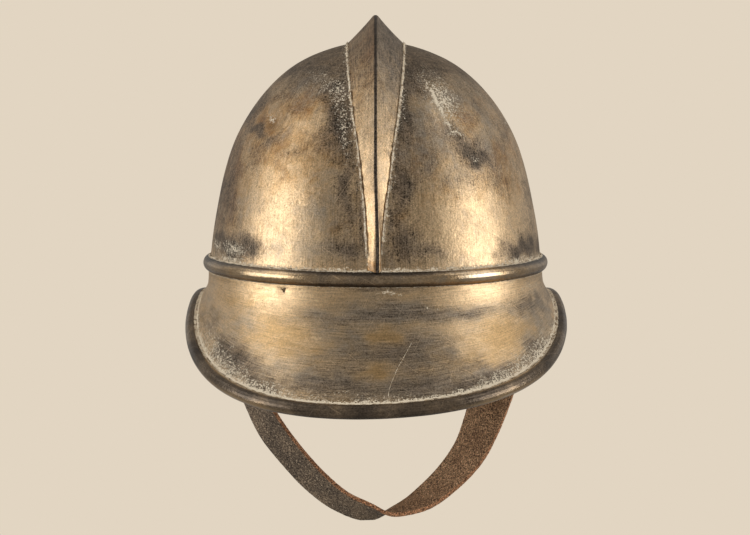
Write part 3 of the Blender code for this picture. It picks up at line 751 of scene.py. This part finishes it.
def build_comb():
    start = 2.05
    rings = []
    stations = 200
    wear_and_painted_light = []
    seams = {-1: [], 1: []}
    for i in range(stations + 1):
        angle = start + (180.0 - 2 * start) * i / stations
        latitude = min(angle, 180.0 - angle)
        origin, normal = comb_frame(angle)
        half = COMB_HALF_WIDTH * follow(COMB_SECTIONS, latitude, 1)
        height = COMB_HEIGHT * follow(COMB_SECTIONS, latitude, 2)
        ridge = COMB_RIDGE_RADIUS * follow(COMB_SECTIONS, latitude, 3)
        centre = height - ridge
        base = crown_depth(origin, normal, half) + FIT_GAP
        reach = math.hypot(half, base - centre)
        face = math.atan2(base - centre, half) + math.acos(ridge / reach)
        inner_ridge = ridge - COMB_WALL
        inner_half = (inner_ridge - (base - centre) * math.sin(face)) / math.cos(face)
        inner_base = crown_depth(origin, normal, inner_half) + FIT_GAP
        inner_half = (inner_ridge - (inner_base - centre) * math.sin(face)) / math.cos(face)
        edge = (ridge * math.cos(face), centre + ridge * math.sin(face))
        right = []
        for k in range(9):
            w = k / 9
            sag = 0.018 * height * math.sin(math.pi * w)
            right.append((half + (edge[0] - half) * w - sag * math.cos(face),
                          base + (edge[1] - base) * w - sag * math.sin(face), w))
        for k in range(6):
            a = face + (math.pi / 2 - face) * k / 6
            right.append((ridge * math.cos(a), centre + ridge * math.sin(a), 1.0))
        left = [(-x, out, w) for x, out, w in reversed(right)]
        section = right + [(0.0, height, 1.0)] + left
        peak = centre + inner_ridge / math.sin(face)
        inside = [(inner_half * k / 4, peak + (inner_base - peak) * abs(k) / 4, -1) for k in range(-4, 5)]
        ring = []
        # Painted light on the comb: the faces are darker towards the top (painted shade), and low on the
        # front they are lightened towards near white, strongly on the right face (painted highlight).
        low = limited((24 - latitude) / 14) if angle < 90 else 0.0
        wear_and_sheen = 0.55 * limited((30 - latitude) / 18) if angle < 90 else 0.0
        up = limited((latitude - 35) / 25)
        for x, out, w in section + inside:
            rise = limited((out - base) / (height - base))
            point = origin + Vector((x + low * (COMB_LEAN * rise + COMB_FOOT_SHIFT), 0, 0)) + normal * out
            if w > 0.02 and w < 1:
                point -= normal * (0.00025 * (0.5 + 0.5 * rough(point, 0.018, 4.0)))
            if i in (0, stations):
                off = abs(point.y) - CROWN_HALF_LENGTH * math.sqrt(1 - (point.x / CROWN_HALF_WIDTH) ** 2)
                point.z = bead_top(off - FIT_GAP) + FIT_GAP
            point.z = min(point.z, cad_box[1][2] - 0.00002)
            ring.append(point)
            # Dark line along the rounded ridge: tarnish and painted shade.
            ridge_line = min(1.0, 1.5 * max(0.0, 1 - abs(x) / 0.0013))
            rubbing_and_sheen = wear_and_sheen * (3.2 if x > 0 else 0.6)
            rust = 1.1 * bell(latitude, 60, 11) * max(0.0, w - 0.3)
            wear_and_painted_light.append((max(1.6 * ridge_line, 0.3 + 0.35 * up - rubbing_and_sheen, 0.9 if w < 0 else -1.0),
                         (0.5 + rust) * (x < 0) * up + (0.9 if latitude < 4.5 else 0.0) - (x > 0) * wear_and_sheen,
                         0.5 * (x > 0) * up,
                         0.75 * bell(w * reach, 0, 0.0011) if w >= 0 else 0.0))
        rings.append(ring)
        for side in (-1, 1):
            foot = origin + Vector((side * half + low * COMB_FOOT_SHIFT, 0, 0)) + normal * base
            seams[side].append((foot, normal, Vector((side, 0, 0))))
    made = tube_object("comb_crest", rings, comb_brass, False, values=named(wear_and_painted_light))
    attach(made, "root")
    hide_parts("comb")
    return seams


def build_bead():
    middle = BEAD_REACH - BEAD_RADIUS
    upper = (crown_share(BEAD_RADIUS) - 1.0) * CROWN_HALF_WIDTH + FIT_GAP
    lower = FIT_GAP + BRIM_WALL + FIT_GAP
    inside = BEAD_RADIUS - BEAD_WALL
    outer = arc(BEAD_RADIUS, math.acos((upper - middle) / BEAD_RADIUS),
                -math.acos((lower - middle) / BEAD_RADIUS), 20)
    inner = arc(inside, -math.acos((lower - middle) / inside), math.acos((upper - middle) / inside), 6)
    rings = []
    wear_and_painted_light = []
    for turn in turn_list:
        shake = 0.00012 * rough(plan_point(turn, 0, 0), 0.02, 6.0)
        rings.append([plan_point(turn, middle + out - abs(shake), up + shake) for out, up in outer + inner])
    # Painted light on the bead: darker overall, towards its top and bottom, and darker and warmer underneath,
    # as painted shade; lighter where the side lamps reflect (shine), a painted highlight. The chalk along the
    # top is residue.
    for turn in turn_list + [0.0]:
        right = math.sin(turn) > 0
        shine = bell(abs(math.sin(turn)), 0.54 if right else 0.62, 0.2) * (1.3 if right else 0.7)
        for out, up in outer + inner:
            share = up / BEAD_RADIUS
            patchy = 0.4 * rough((math.sin(turn) * 0.11, math.cos(turn) * 0.11, share * 0.004), 0.02, 8.0)
            wear_and_painted_light.append((0.60 + 1.9 * max(0.0, abs(share) - 0.38) - shine + patchy,
                         0.5 * max(0.0, -share), 0.1, 0.9 * max(0.0, (share - 0.85) / 0.15)))
    made = tube_object("bead_moulding", rings, bead_brass, True, values=named(wear_and_painted_light))
    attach(made, "root")
    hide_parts("bead_ring")


def build_brim():
    shares = [i / 70 for i in range(71)]
    columns = []
    for turn in turn_list:
        top = [plan_point(turn, FIT_GAP + BRIM_WALL, z) for z in (BRIM_COLLAR_TOP, -0.0018)]
        columns.append(top + brim_column(turn, shares))
    grid = as_grid(columns).transpose(1, 0, 2)[::-1].copy()
    points = grid.reshape(-1, 3)
    share_row = np.array(([-0.05, -0.02] + shares)[::-1])
    share = np.repeat(share_row, TURNS)
    turn = np.tile(np.array(turn_list), len(share_row))
    from_edge = np.linalg.norm(grid - grid[0][None], axis=2).reshape(-1)
    past_bead = np.clip(-0.0042 - points[:, 2], 0, 1)
    inside = 0.0003 * (0.5 + 0.5 * rough_at(points, 0.03, 11.0))
    inside += 0.00008 * (0.5 + 0.5 * rough_at(points, 0.010, 12.0))
    x, z = points[:, 0] * 1000, points[:, 2] * 1000
    nick = dip(x, z, -53.3, -8.2, 2.6, 2.2) * (points[:, 1] < 0) * 0.0009
    fade = np.clip(share / 0.06, 0, 1) * np.clip((1 - share) / 0.06, 0, 1)
    across = np.stack([np.sin(turn) / CROWN_HALF_WIDTH, -np.cos(turn) / CROWN_HALF_LENGTH], 1)
    across /= np.linalg.norm(across, axis=1)[:, None]
    move = np.zeros_like(points)
    move[:, :2] = -across * 0.75 * (inside * fade + nick)[:, None]
    move[:, 2] = -0.6 * (inside * fade)
    points = points + move
    angle = np.degrees(np.arctan2(np.sin(turn), np.cos(turn)))
    wander = rough_at(points, 0.007, 13.0)
    width = 0.0022 + 0.009 * bell(np.abs(angle), 52, 20)
    reach = np.clip(1 - (from_edge - 0.004) / (width * (1 + 0.9 * wander)), 0, 1)
    rim = 0.42 * (reach > 0) + 0.20 * reach + 0.5 * bell(from_edge, 0.0023, 0.0013)
    foot = 0.75 * bell(past_bead, 0, 0.0013 + 0.0008 * wander)
    drawn_out = (9.0, 2.5)
    values = {"dark": np.maximum(cloud(points, BRIM_DARK, drawn_out), rear_stains(points, 17.0)),
              "gold": cloud(points, BRIM_GOLD, drawn_out), "grey": 0.12 + cloud(points, BRIM_GREY, drawn_out),
              "chalk": np.maximum.reduce([rim, foot, cloud(points, BRIM_CHALK, (2.0, 2.0))])}
    made = grid_object("brim_sheet", points.reshape(grid.shape), brim_brass, values=values)
    add_wall(made, BRIM_WALL)
    cut_nick(made)
    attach(made, "root")
    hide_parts("brim")


def cut_nick(item):
    """Small three-cornered hole below the bead, with bent edges."""
    turn = math.radians(NICK_TURN)
    low = last_true(0.0, 1.0, 30, lambda at: brim_column(turn, [at])[0].z > -NICK_DROP)
    here, below = brim_column(turn, [low, low + 0.02])
    down = (below - here).normalized()
    aside = (brim_column(turn + 0.02, [low])[0] - brim_column(turn - 0.02, [low])[0]).normalized()
    normal = down.cross(aside).normalized()
    if normal.dot(plan_normal(turn)) < 0:
        normal = -normal
    aside = normal.cross(down)
    outline = ((-0.55, -0.30), (-0.2, -0.16), (0.05, -0.28), (0.5, -0.34), (0.2, 0.2), (0.0, 0.55),
               (-0.22, 0.15))
    shape = bmesh.new()
    rings = []
    for depth in (-0.004, 0.003):
        rings.append([shape.verts.new(here + (aside * a + down * d) * NICK_WIDTH + normal * depth)
                      for a, d in outline])
    shape.faces.new(rings[0])
    shape.faces.new(list(reversed(rings[1])))
    for i in range(len(outline)):
        j = (i + 1) % len(outline)
        shape.faces.new((rings[0][i], rings[1][i], rings[1][j], rings[0][j]))
    mesh = bpy.data.meshes.new("nick_cutter")
    fill_mesh(mesh, shape)
    cutter = placed("nick_cutter", mesh)
    cut = item.modifiers.new("Nick", "BOOLEAN")
    cut.operation = "DIFFERENCE"
    cut.object = cutter
    bpy.context.view_layer.update()
    made = bpy.data.meshes.new_from_object(item.evaluated_get(bpy.context.evaluated_depsgraph_get()))
    item.modifiers.clear()
    item.data = made
    made.set_sharp_from_angle(angle=math.radians(50))
    bpy.data.objects.remove(cutter)


def build_roll():
    half_slot = BRIM_WALL / 2 + FIT_GAP
    inside = ROLL_RADIUS - ROLL_WALL
    outer_stop = math.pi - math.asin(half_slot / ROLL_RADIUS)
    inner_stop = math.pi - math.asin(half_slot / inside)
    section = arc(ROLL_RADIUS, outer_stop, -outer_stop, 30) + arc(inside, -inner_stop, inner_stop, 10)
    rings = []
    wear_and_painted_light = []
    roll_turns = turns(480)
    for turn in roll_turns:
        centre, into, normal = edge_frame(turn)
        ring = []
        for k, (along, up) in enumerate(section):
            point = centre + into * along + normal * up
            if k <= 30:
                point -= (point - centre) * (0.035 * (0.5 + 0.5 * rough(point, 0.012, 21.0)))
            ring.append(point)
        rings.append(ring)
    # Painted light on the rim roll: dark all round and darker and warmer underneath, as painted shade for the
    # dark surroundings; lighter where the side lamps reflect on its upper side (shine), a painted highlight.
    # The chalk by the brim is residue.
    for turn in roll_turns + [2 * math.pi]:
        shine = bell(abs(math.sin(turn)), 0.68, 0.2)
        for k, (along, up) in enumerate(section):
            share = up / ROLL_RADIUS
            patchy = 0.35 * rough((math.sin(turn) * 0.15, math.cos(turn) * 0.15, share * 0.004), 0.02, 31.0)
            dark = 1.05 + 0.5 * max(0.0, -share) - 1.8 * shine * bell(share, 0.25, 0.4) + patchy
            near = along < -0.85 * ROLL_RADIUS
            wear_and_painted_light.append((dark if k <= 30 else 1.0, 0.6 * max(0.0, -share), 0.0,
                         0.7 if near and up > 0 and k <= 30 else 0.0))
    made = tube_object("rim_tube", rings, roll_brass, True, values=named(wear_and_painted_light))
    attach(made, "root")
    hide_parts("rim_roll")


def strap_line():
    span = strap_half_span()
    points = [(-span, STUD_HEIGHT + STRAP_END, 0.0), (-span, STUD_HEIGHT, 0.0)]
    points += [(across * span, -drop * STRAP_DROP, twist) for across, drop, twist in STRAP_RUN]
    points += [(span, STUD_HEIGHT, 0.0), (span, STUD_HEIGHT + STRAP_END, 0.0)]
    rows = []
    length = 0.0
    for i, point in enumerate(points):
        if i:
            length += math.hypot(point[0] - points[i - 1][0], point[1] - points[i - 1][1])
        rows.append((length,) + point)
    return rows


def build_strap():
    rows = strap_line()
    total = rows[-1][0]
    half, thick = STRAP_WIDTH / 2, STRAP_THICKNESS / 2
    outer_side = [(half - 0.0004 - (STRAP_WIDTH - 0.0008) * k / 16, thick, 0) for k in range(17)]
    outer_side += [(-half + 0.0001, thick - 0.0003, 2), (-half, 0.0, 2), (-half + 0.0001, 0.0003 - thick, 2)]
    section = outer_side + [(-across, -out, kind or 1) for across, out, kind in outer_side]
    stations = 420
    rings = []
    for i in range(stations + 1):
        place = total * i / stations
        x, z, twist = (follow(rows, place, column) for column in (1, 2, 3))
        ahead, back = min(place + 0.0005, total), max(place - 0.0005, 0.0)
        along = Vector((follow(rows, ahead, 1) - follow(rows, back, 1), 0.0,
                        follow(rows, ahead, 2) - follow(rows, back, 2))).normalized()
        inward = Vector((-along.z, 0.0, along.x))
        c, s = math.cos(math.radians(twist)), math.sin(math.radians(twist))
        outer = inward * -c - Vector((0.0, s, 0.0))
        width = Vector((0.0, c, 0.0)) - inward * s
        ring = []
        for across, out, kind in section:
            frayed = 0.0
            if abs(across) > half - 0.0005:
                frayed = -0.0004 * abs(rough((place, across, out), 0.0013, 2.0)) - 0.0002 * abs(
                    rough((place, across, 0), 0.006, 3.0))
            point = Vector((x, 0.0, z)) + width * (across + math.copysign(frayed, across)) + outer * out
            point.z = max(point.z, cad_box[0][2] + 0.00002)
            ring.append(point)
        rings.append(ring)
    made = tube_object("strap_leather", rings, strap_outer, False)
    made.data.materials.append(strap_inner)
    made.data.materials.append(strap_edge)
    count = len(section)
    kinds = []
    for i in range(stations):
        for k in range(count):
            a, b = section[k][2], section[(k + 1) % count][2]
            kinds.append(2 if 2 in (a, b) else a)
    kinds += [2] * (len(made.data.polygons) - len(kinds))
    made.data.polygons.foreach_set("material_index", kinds)
    made.data.update()
    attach(made, "root")
    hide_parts("chin_strap")


def build_studs():
    under_head = stud_foot() - strap_half_span() + STRAP_THICKNESS / 2 + FIT_GAP
    profile = [(0.0, 0.0), (STUD_RADIUS, 0.0), (STUD_RADIUS, under_head), (STUD_HEAD_RADIUS, under_head),
               (STUD_HEAD_RADIUS, under_head + 0.3 * STUD_HEAD_THICKNESS)]
    for k in range(1, 7):
        a = math.pi / 2 * k / 6
        profile.append((STUD_HEAD_RADIUS * math.cos(a) if k < 6 else 0.0,
                        under_head + STUD_HEAD_THICKNESS * (0.3 + 0.7 * math.sin(a))))
    for side, name in ((-1, "strap_stud_left"), (1, "strap_stud_right")):
        shape = bmesh.new()
        outline = [shape.verts.new((r, 0.0, h)) for r, h in profile]
        edges = [shape.edges.new(pair) for pair in zip(outline, outline[1:])]
        bmesh.ops.spin(shape, geom=outline + edges, cent=(0, 0, 0), axis=(0, 0, 1), angle=2 * math.pi,
                       steps=40, use_merge=True)
        bmesh.ops.remove_doubles(shape, verts=shape.verts, dist=0.00001)
        mesh = bpy.data.meshes.new("plain_" + name)
        fill_mesh(mesh, shape)
        mesh.materials.append(stud_brass)
        mesh.shade_smooth()
        mesh.set_sharp_from_angle(angle=math.radians(40))
        made = placed("plain_" + name, mesh)
        made.location = (side * stud_foot(), 0.0, STUD_HEIGHT)
        made.rotation_euler = (0.0, math.radians(-90 * side), 0.0)
        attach(made, "root")
        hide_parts(name)


def fillet(name, line, radius, closed):
    """Crumbly line of residue along a seam; each station has a place and two directions away from it."""
    rings = []
    for place, up, side in line:
        swell = max(0.0, 0.5 + rough(place, 0.0035, 31.0)) * (0.7 + 0.6 * rough(place, 0.02, 33.0))
        swell = max(radius * (0.55 + swell), 0.00012)
        ring = []
        for k in range(7):
            a = math.pi / 2 * k / 6
            uneven = rough((place.x + a, place.y, place.z), 0.0012, 35.0)
            r = swell * (1 - 0.35 * math.sin(2 * a) + 0.25 * uneven)
            ring.append(place + up * (r * math.sin(a)) + side * (r * math.cos(a)))
        ring.append(place - up * 0.00005 - side * 0.00005)
        rings.append(ring)
    made = tube_object(name, rings, polish, closed)
    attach(made, "root")


def build_scratch():
    """Pale hairline that curves down the brim right of the middle."""
    rows = [(k,) + row for k, row in enumerate(SCRATCH)]
    steps = 90
    line = []
    for i in range(steps + 1):
        at = i / steps * (len(SCRATCH) - 1)
        turn = math.radians(follow(rows, at, 1))
        share = follow(rows, at, 2)
        here, below = brim_column(turn, [share, share + 0.01])
        line.append((here, below, brim_column(turn + 0.01, [share])[0] - here))
    rings = []
    for i, (here, below, aside) in enumerate(line):
        normal = (below - here).cross(aside).normalized()
        if normal.y > 0:
            normal = -normal
        along = (line[min(i + 1, steps)][0] - line[max(i - 1, 0)][0]).normalized()
        side = along.cross(normal).normalized()
        wide = 0.00016 * (0.6 + 0.8 * abs(rough(here, 0.004, 41.0)))
        centre = here - normal * 0.00012
        rings.append([centre + side * wide, centre + normal * 0.00016, centre - side * wide])
    made = tube_object("brim_scratch", rings, polish, False)
    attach(made, "root")


build_crown()
comb_seams = build_comb()
build_bead()
build_brim()
build_roll()
build_strap()
build_studs()
build_scratch()

for side, label in ((-1, "left"), (1, "right")):
    fillet("comb_seam_" + label, comb_seams[side][4:-4], COMB_SEAM, False)
fine_turns = turns(900)
inset = (crown_share(BEAD_RADIUS) - 1.0) * CROWN_HALF_WIDTH
# Name, distance from the plan's outline, height, direction, radius
for name, out, height, up, radius in (
        ("bead_seam_upper", inset + FIT_GAP, BEAD_RADIUS, 1, BEAD_UPPER_SEAM),
        ("bead_seam_lower", FIT_GAP + BRIM_WALL, BEAD_LOWER_SEAM_HEIGHT, -1, BEAD_LOWER_SEAM)):
    line = [(plan_point(a, out, height), Vector((0, 0, up)), plan_normal(a)) for a in fine_turns]
    fillet(name, line, radius, True)
roll_line = []
for a in fine_turns:
    centre, into, normal = edge_frame(a)
    roll_line.append((centre - into * (ROLL_RADIUS * 0.99) + normal * (BRIM_WALL / 2), normal, -into))
fillet("rim_seam", roll_line, RIM_SEAM, True)


def stand(item, target, azimuth, elevation, distance):
    """Put an item at a distance from a target and turn it there; azimuth 0 is in front."""
    a, e = math.radians(azimuth), math.radians(elevation)
    away = Vector((math.sin(a) * math.cos(e), -math.cos(a) * math.cos(e), math.sin(e)))
    item.location = target + distance * away
    item.rotation_mode = "QUATERNION"
    item.rotation_quaternion = (target - item.location).to_track_quat("-Z", "Y")


# Camera at the photograph's angle
camera = placed("camera", bpy.data.cameras.new("camera"))
stand(camera, Vector((-0.0003, 0.0, -0.0038)), 0, 5.0, 1.4)
camera.data.sensor_width = 36.0
camera.data.lens = 108.0
bpy.context.scene.camera = camera


# Studio: pale floor and backdrop, three soft boxes on each side and a fill light in front
LIGHT_COLOUR = (1.0, 0.97, 0.93)
BOX_POWER = 7.2


def soft_box(name, azimuth, elevation, distance, width, height, power):
    light = bpy.data.lights.new(name, "AREA")
    light.shape = "RECTANGLE"
    light.size = width
    light.size_y = height
    light.energy = power
    light.color = LIGHT_COLOUR
    item = placed(name, light)
    stand(item, Vector(), azimuth, elevation, distance)
    return item


# Side, name, azimuth in degrees and width in metres of the main box
for side, name, azimuth, width in ((-1, "left", 79, 1.0), (1, "right", 82, 0.94)):
    soft_box(name + "_box", azimuth * side, 5, 1.6, width, 0.95, BOX_POWER * width)
    soft_box(name + "_upper_box", 92 * side, 42, 1.6, 1.0, 0.8, 2.4)
    soft_box(name + "_rear_box", 138 * side, 14, 1.8, 1.0, 1.0, 0.7)

fill = soft_box("front_fill", 0, 30, 2.0, 1.6, 1.2, 16)
fill.visible_glossy = False


def chosen(t, pick, first, second, output):
    """Ends a node tree in one of two shaders, by a value of 0 or 1."""
    choose = t.node("ShaderNodeMixShader", ("Fac", pick), (1, first.outputs[0]), (2, second.outputs[0]))
    t.node(output, ("Surface", choose.outputs[0]))


backdrop_colour = linear(226, 213, 194)
studio = Tree(bpy.data.worlds.new("studio"))
bpy.context.scene.world = studio.owner
studio.tree.nodes.clear()
room = studio.node("ShaderNodeBackground", ("Color", (1.0, 0.93, 0.84, 1.0)), ("Strength", 0.25))
plain = studio.node("ShaderNodeBackground", ("Color", backdrop_colour))
seen = studio.node("ShaderNodeLightPath").outputs["Is Camera Ray"]
chosen(studio, seen, room, plain, "ShaderNodeOutputWorld")

floor_mesh = bpy.data.meshes.new("floor")
floor_shape = bmesh.new()
bmesh.ops.create_circle(floor_shape, cap_ends=True, segments=96, radius=6.0)
floor_shape.to_mesh(floor_mesh)
floor_shape.free()
floor = placed("floor", floor_mesh)
floor.location = (0.0, 0.0, -0.5)
pale = Tree(bpy.data.materials.new("pale_floor"))
pale.tree.nodes.clear()
glow = pale.node("ShaderNodeEmission", ("Color", backdrop_colour))
clear = pale.node("ShaderNodeBsdfTransparent")
under = pale.node("ShaderNodeNewGeometry").outputs["Backfacing"]
chosen(pale, under, glow, clear, "ShaderNodeOutputMaterial")
floor_mesh.materials.append(pale.owner)
floor.visible_glossy = False
floor.visible_diffuse = False
floor.visible_shadow = False

bpy.context.scene.view_settings.view_transform = "Standard"
